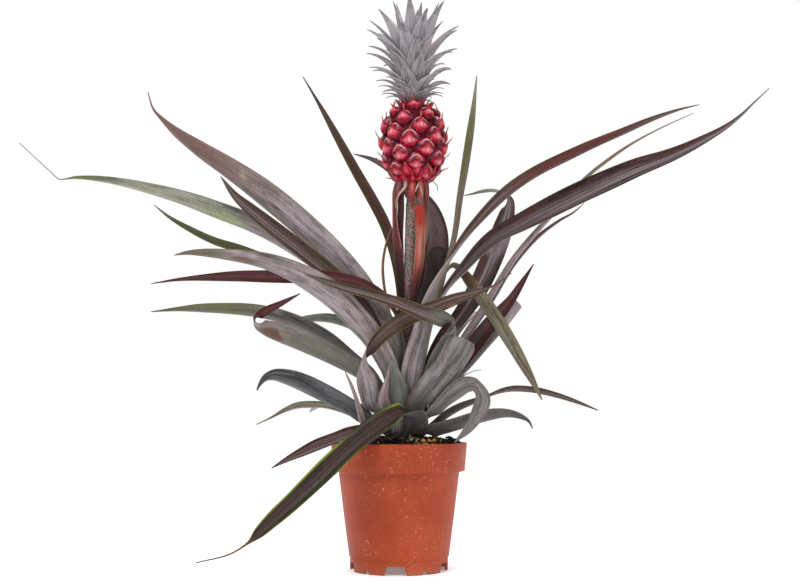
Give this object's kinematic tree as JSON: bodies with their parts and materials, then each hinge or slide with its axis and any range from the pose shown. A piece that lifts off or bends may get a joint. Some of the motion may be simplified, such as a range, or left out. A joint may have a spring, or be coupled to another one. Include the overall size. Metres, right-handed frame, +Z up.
{
  "type": "potted pineapple plant",
  "caption": "Ornamental pineapple plant with dark arching leaves and a young crimson fruit with a grey crown, in a terracotta coloured plastic pot.",
  "frame": {"origin": "centre of the pot's foot, on the surface it stands on", "axes": "+Z up along the pot's axis, +X towards the viewer's right across the leaves' widest spread, -Y towards the front"},
  "size_m": [0.7212, 0.3346, 0.5242],
  "materials": {
    "pot": "satin",
    "soil": "matte",
    "stem": "matte",
    "leaf_dark": "satin",
    "leaf_grey": "satin",
    "leaf_olive": "satin",
    "bract": "satin",
    "fruit": "gloss",
    "crown": "matte"
  },
  "bodies": {
    "root": {"bract_dark": "leaf_dark", "bract_far_right": "bract", "bract_left": "bract", "bract_right": "bract", "crown": "crown", "fruit": "fruit", "fruit_collar": "bract", "leaf_back_arch": "leaf_grey", "leaf_back_left": "leaf_grey", "leaf_back_low_far_left": "leaf_dark", "leaf_back_low_far_right": "leaf_grey", "leaf_back_low_left": "leaf_dark", "leaf_back_low_right": "leaf_dark", "leaf_back_right": "leaf_grey", "leaf_behind_stalk": "leaf_dark", "leaf_behind_stalk_short": "leaf_dark", "leaf_crossing_left": "leaf_dark", "leaf_crossing_right": "leaf_dark", "leaf_front_curl_right": "leaf_grey", "leaf_front_dry_tip": "leaf_olive", "leaf_front_low_left": "leaf_dark", "leaf_front_middle": "leaf_grey", "leaf_front_narrow": "leaf_grey", "leaf_front_wide": "leaf_grey", "leaf_left_behind": "leaf_grey", "leaf_left_channelled": "leaf_dark", "leaf_left_far": "leaf_grey", "leaf_left_folded": "leaf_grey", "leaf_left_green": "leaf_olive", "leaf_left_hooked": "leaf_dark", "leaf_left_long": "leaf_grey", "leaf_left_maroon": "leaf_dark", "leaf_left_outer_small": "leaf_grey", "leaf_left_pale_low": "leaf_grey", "leaf_left_small_olive": "leaf_olive", "leaf_left_wide": "leaf_grey", "leaf_low_left_dark": "leaf_dark", "leaf_right_arched": "leaf_dark", "leaf_right_bent_back": "leaf_dark", "leaf_right_dark": "leaf_dark", "leaf_right_hanging": "leaf_olive", "leaf_right_long": "leaf_dark", "leaf_right_low": "leaf_dark", "leaf_right_thin": "leaf_grey", "leaf_right_thin_lower": "leaf_dark", "leaf_right_torn": "leaf_grey", "leaf_right_upper": "leaf_dark", "leaf_upright_left": "leaf_dark", "leaf_upright_thin_left": "leaf_olive", "leaf_upright_thin_right": "leaf_olive", "pot": "pot", "soil": "soil", "stem": "stem"}
  },
  "joints": []
}
